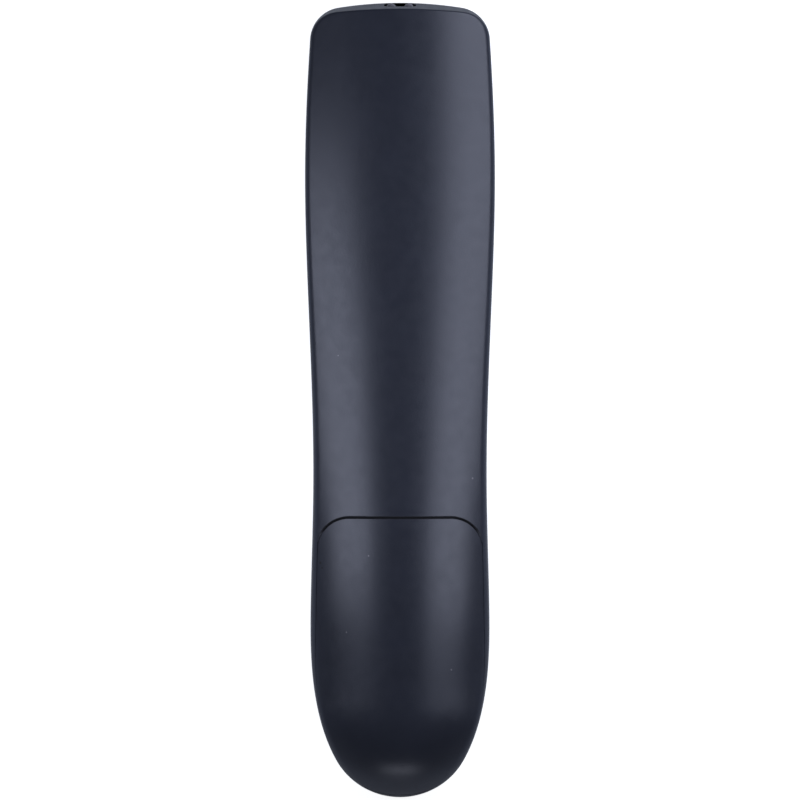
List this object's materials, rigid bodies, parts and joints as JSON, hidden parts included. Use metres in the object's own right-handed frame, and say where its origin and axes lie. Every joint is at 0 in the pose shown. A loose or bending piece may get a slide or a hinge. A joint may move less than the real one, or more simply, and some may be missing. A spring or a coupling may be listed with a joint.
{
  "type": "satellite receiver remote control",
  "caption": "Slim infrared handset with a domed back, a heel over its battery bay, a sliding battery cover and a rubber keypad with arrow ring, rockers and digits.",
  "frame": {"origin": "middle of the footprint, on the table that the keypad side lies on", "axes": "+Y towards the infrared end, +Z out of the back, +X to the user's left"},
  "size_m": [0.0538, 0.225, 0.0279],
  "materials": {
    "housing": "fine matte",
    "panel": "satin",
    "key": "matte",
    "red_key": "matte",
    "green_key": "matte",
    "yellow_key": "matte",
    "blue_key": "matte",
    "mat": "matte",
    "board": "satin",
    "diode": "glossy",
    "lead": "plain",
    "chip": "matte",
    "ceramic": "satin",
    "can": "satin",
    "cell": "satin",
    "contact": "nickel plated",
    "screw": "zinc plated"
  },
  "bodies": {
    "handset": {"back_shell": "housing", "front_shell": "housing", "keypad_panel": "panel", "key_mat": "mat", "circuit_board": "board", "led_left": "diode", "led_right": "diode", "led_leads": "lead", "controller_chip": "chip", "resonator": "ceramic", "reservoir_capacitor": "can", "driver_transistor": "chip", "chip_resistors": "chip", "cell_left": "cell", "cell_right": "cell", "plus_contact": "contact", "minus_contact": "contact", "minus_spring": "contact", "bridge_contact": "contact", "bridge_spring": "contact", "case_screw": "screw"},
    "cover": {"battery_cover": "housing"},
    "power_key": {"key_power": "red_key"},
    "source_key": {"key_source": "key"},
    "rewind_key": {"key_rewind": "key"},
    "play_key": {"key_play": "key"},
    "forward_key": {"key_forward": "key"},
    "record_key": {"key_record": "key"},
    "pause_key": {"key_pause": "key"},
    "stop_key": {"key_stop": "key"},
    "guide_key": {"key_guide": "key"},
    "menu_key": {"key_menu": "key"},
    "list_key": {"key_list": "key"},
    "up_key": {"key_up": "key"},
    "down_key": {"key_down": "key"},
    "left_key": {"key_left": "key"},
    "right_key": {"key_right": "key"},
    "select_key": {"key_select": "key"},
    "info_key": {"key_info": "key"},
    "back_key": {"key_back": "key"},
    "text_key": {"key_text": "key"},
    "help_key": {"key_help": "key"},
    "mute_key": {"key_mute": "key"},
    "red_key": {"key_red": "red_key"},
    "green_key": {"key_green": "green_key"},
    "yellow_key": {"key_yellow": "yellow_key"},
    "blue_key": {"key_blue": "blue_key"},
    "0_key": {"key_0": "key"},
    "1_key": {"key_1": "key"},
    "2_key": {"key_2": "key"},
    "3_key": {"key_3": "key"},
    "4_key": {"key_4": "key"},
    "5_key": {"key_5": "key"},
    "6_key": {"key_6": "key"},
    "7_key": {"key_7": "key"},
    "8_key": {"key_8": "key"},
    "9_key": {"key_9": "key"},
    "volume_key": {"key_volume": "key"},
    "channel_key": {"key_channel": "key"}
  },
  "joints": [
    {"name": "cover_slide", "type": "slide", "parent": "handset", "child": "cover", "axis": [0, -1, 0], "range_m": [0, 0.082]},
    {"name": "key_power_press", "type": "slide", "parent": "handset", "child": "power_key", "axis": [0, 0, 1], "range_m": [0, 0.0008], "stiffness_N_per_m": 1500},
    {"name": "key_source_press", "type": "slide", "parent": "handset", "child": "source_key", "axis": [0, 0, 1], "range_m": [0, 0.0008], "stiffness_N_per_m": 1500},
    {"name": "key_rewind_press", "type": "slide", "parent": "handset", "child": "rewind_key", "axis": [0, 0, 1], "range_m": [0, 0.0008], "stiffness_N_per_m": 1500},
    {"name": "key_play_press", "type": "slide", "parent": "handset", "child": "play_key", "axis": [0, 0, 1], "range_m": [0, 0.0008], "stiffness_N_per_m": 1500},
    {"name": "key_forward_press", "type": "slide", "parent": "handset", "child": "forward_key", "axis": [0, 0, 1], "range_m": [0, 0.0008], "stiffness_N_per_m": 1500},
    {"name": "key_record_press", "type": "slide", "parent": "handset", "child": "record_key", "axis": [0, 0, 1], "range_m": [0, 0.0008], "stiffness_N_per_m": 1500},
    {"name": "key_pause_press", "type": "slide", "parent": "handset", "child": "pause_key", "axis": [0, 0, 1], "range_m": [0, 0.0008], "stiffness_N_per_m": 1500},
    {"name": "key_stop_press", "type": "slide", "parent": "handset", "child": "stop_key", "axis": [0, 0, 1], "range_m": [0, 0.0008], "stiffness_N_per_m": 1500},
    {"name": "key_guide_press", "type": "slide", "parent": "handset", "child": "guide_key", "axis": [0, 0, 1], "range_m": [0, 0.0008], "stiffness_N_per_m": 1500},
    {"name": "key_menu_press", "type": "slide", "parent": "handset", "child": "menu_key", "axis": [0, 0, 1], "range_m": [0, 0.0008], "stiffness_N_per_m": 1500},
    {"name": "key_list_press", "type": "slide", "parent": "handset", "child": "list_key", "axis": [0, 0, 1], "range_m": [0, 0.0008], "stiffness_N_per_m": 1500},
    {"name": "key_up_press", "type": "slide", "parent": "handset", "child": "up_key", "axis": [0, 0, 1], "range_m": [0, 0.0008], "stiffness_N_per_m": 1500},
    {"name": "key_down_press", "type": "slide", "parent": "handset", "child": "down_key", "axis": [0, 0, 1], "range_m": [0, 0.0008], "stiffness_N_per_m": 1500},
    {"name": "key_left_press", "type": "slide", "parent": "handset", "child": "left_key", "axis": [0, 0, 1], "range_m": [0, 0.0008], "stiffness_N_per_m": 1500},
    {"name": "key_right_press", "type": "slide", "parent": "handset", "child": "right_key", "axis": [0, 0, 1], "range_m": [0, 0.0008], "stiffness_N_per_m": 1500},
    {"name": "key_select_press", "type": "slide", "parent": "handset", "child": "select_key", "axis": [0, 0, 1], "range_m": [0, 0.0008], "stiffness_N_per_m": 1500},
    {"name": "key_info_press", "type": "slide", "parent": "handset", "child": "info_key", "axis": [0, 0, 1], "range_m": [0, 0.0008], "stiffness_N_per_m": 1500},
    {"name": "key_back_press", "type": "slide", "parent": "handset", "child": "back_key", "axis": [0, 0, 1], "range_m": [0, 0.0008], "stiffness_N_per_m": 1500},
    {"name": "key_text_press", "type": "slide", "parent": "handset", "child": "text_key", "axis": [0, 0, 1], "range_m": [0, 0.0008], "stiffness_N_per_m": 1500},
    {"name": "key_help_press", "type": "slide", "parent": "handset", "child": "help_key", "axis": [0, 0, 1], "range_m": [0, 0.0008], "stiffness_N_per_m": 1500},
    {"name": "key_mute_press", "type": "slide", "parent": "handset", "child": "mute_key", "axis": [0, 0, 1], "range_m": [0, 0.0008], "stiffness_N_per_m": 1500},
    {"name": "key_red_press", "type": "slide", "parent": "handset", "child": "red_key", "axis": [0, 0, 1], "range_m": [0, 0.0008], "stiffness_N_per_m": 1500},
    {"name": "key_green_press", "type": "slide", "parent": "handset", "child": "green_key", "axis": [0, 0, 1], "range_m": [0, 0.0008], "stiffness_N_per_m": 1500},
    {"name": "key_yellow_press", "type": "slide", "parent": "handset", "child": "yellow_key", "axis": [0, 0, 1], "range_m": [0, 0.0008], "stiffness_N_per_m": 1500},
    {"name": "key_blue_press", "type": "slide", "parent": "handset", "child": "blue_key", "axis": [0, 0, 1], "range_m": [0, 0.0008], "stiffness_N_per_m": 1500},
    {"name": "key_0_press", "type": "slide", "parent": "handset", "child": "0_key", "axis": [0, 0, 1], "range_m": [0, 0.0008], "stiffness_N_per_m": 1500},
    {"name": "key_1_press", "type": "slide", "parent": "handset", "child": "1_key", "axis": [0, 0, 1], "range_m": [0, 0.0008], "stiffness_N_per_m": 1500},
    {"name": "key_2_press", "type": "slide", "parent": "handset", "child": "2_key", "axis": [0, 0, 1], "range_m": [0, 0.0008], "stiffness_N_per_m": 1500},
    {"name": "key_3_press", "type": "slide", "parent": "handset", "child": "3_key", "axis": [0, 0, 1], "range_m": [0, 0.0008], "stiffness_N_per_m": 1500},
    {"name": "key_4_press", "type": "slide", "parent": "handset", "child": "4_key", "axis": [0, 0, 1], "range_m": [0, 0.0008], "stiffness_N_per_m": 1500},
    {"name": "key_5_press", "type": "slide", "parent": "handset", "child": "5_key", "axis": [0, 0, 1], "range_m": [0, 0.0008], "stiffness_N_per_m": 1500},
    {"name": "key_6_press", "type": "slide", "parent": "handset", "child": "6_key", "axis": [0, 0, 1], "range_m": [0, 0.0008], "stiffness_N_per_m": 1500},
    {"name": "key_7_press", "type": "slide", "parent": "handset", "child": "7_key", "axis": [0, 0, 1], "range_m": [0, 0.0008], "stiffness_N_per_m": 1500},
    {"name": "key_8_press", "type": "slide", "parent": "handset", "child": "8_key", "axis": [0, 0, 1], "range_m": [0, 0.0008], "stiffness_N_per_m": 1500},
    {"name": "key_9_press", "type": "slide", "parent": "handset", "child": "9_key", "axis": [0, 0, 1], "range_m": [0, 0.0008], "stiffness_N_per_m": 1500},
    {"name": "key_volume_rock", "type": "hinge", "parent": "handset", "child": "volume_key", "pos_m": [0.0148, 0.0012, 0.003], "axis": [1, 0, 0], "range_deg": [-3, 3], "stiffness_Nm_per_rad": 0.3},
    {"name": "key_channel_rock", "type": "hinge", "parent": "handset", "child": "channel_key", "pos_m": [-0.0148, 0.0012, 0.003], "axis": [1, 0, 0], "range_deg": [-3, 3], "stiffness_Nm_per_rad": 0.3}
  ]
}
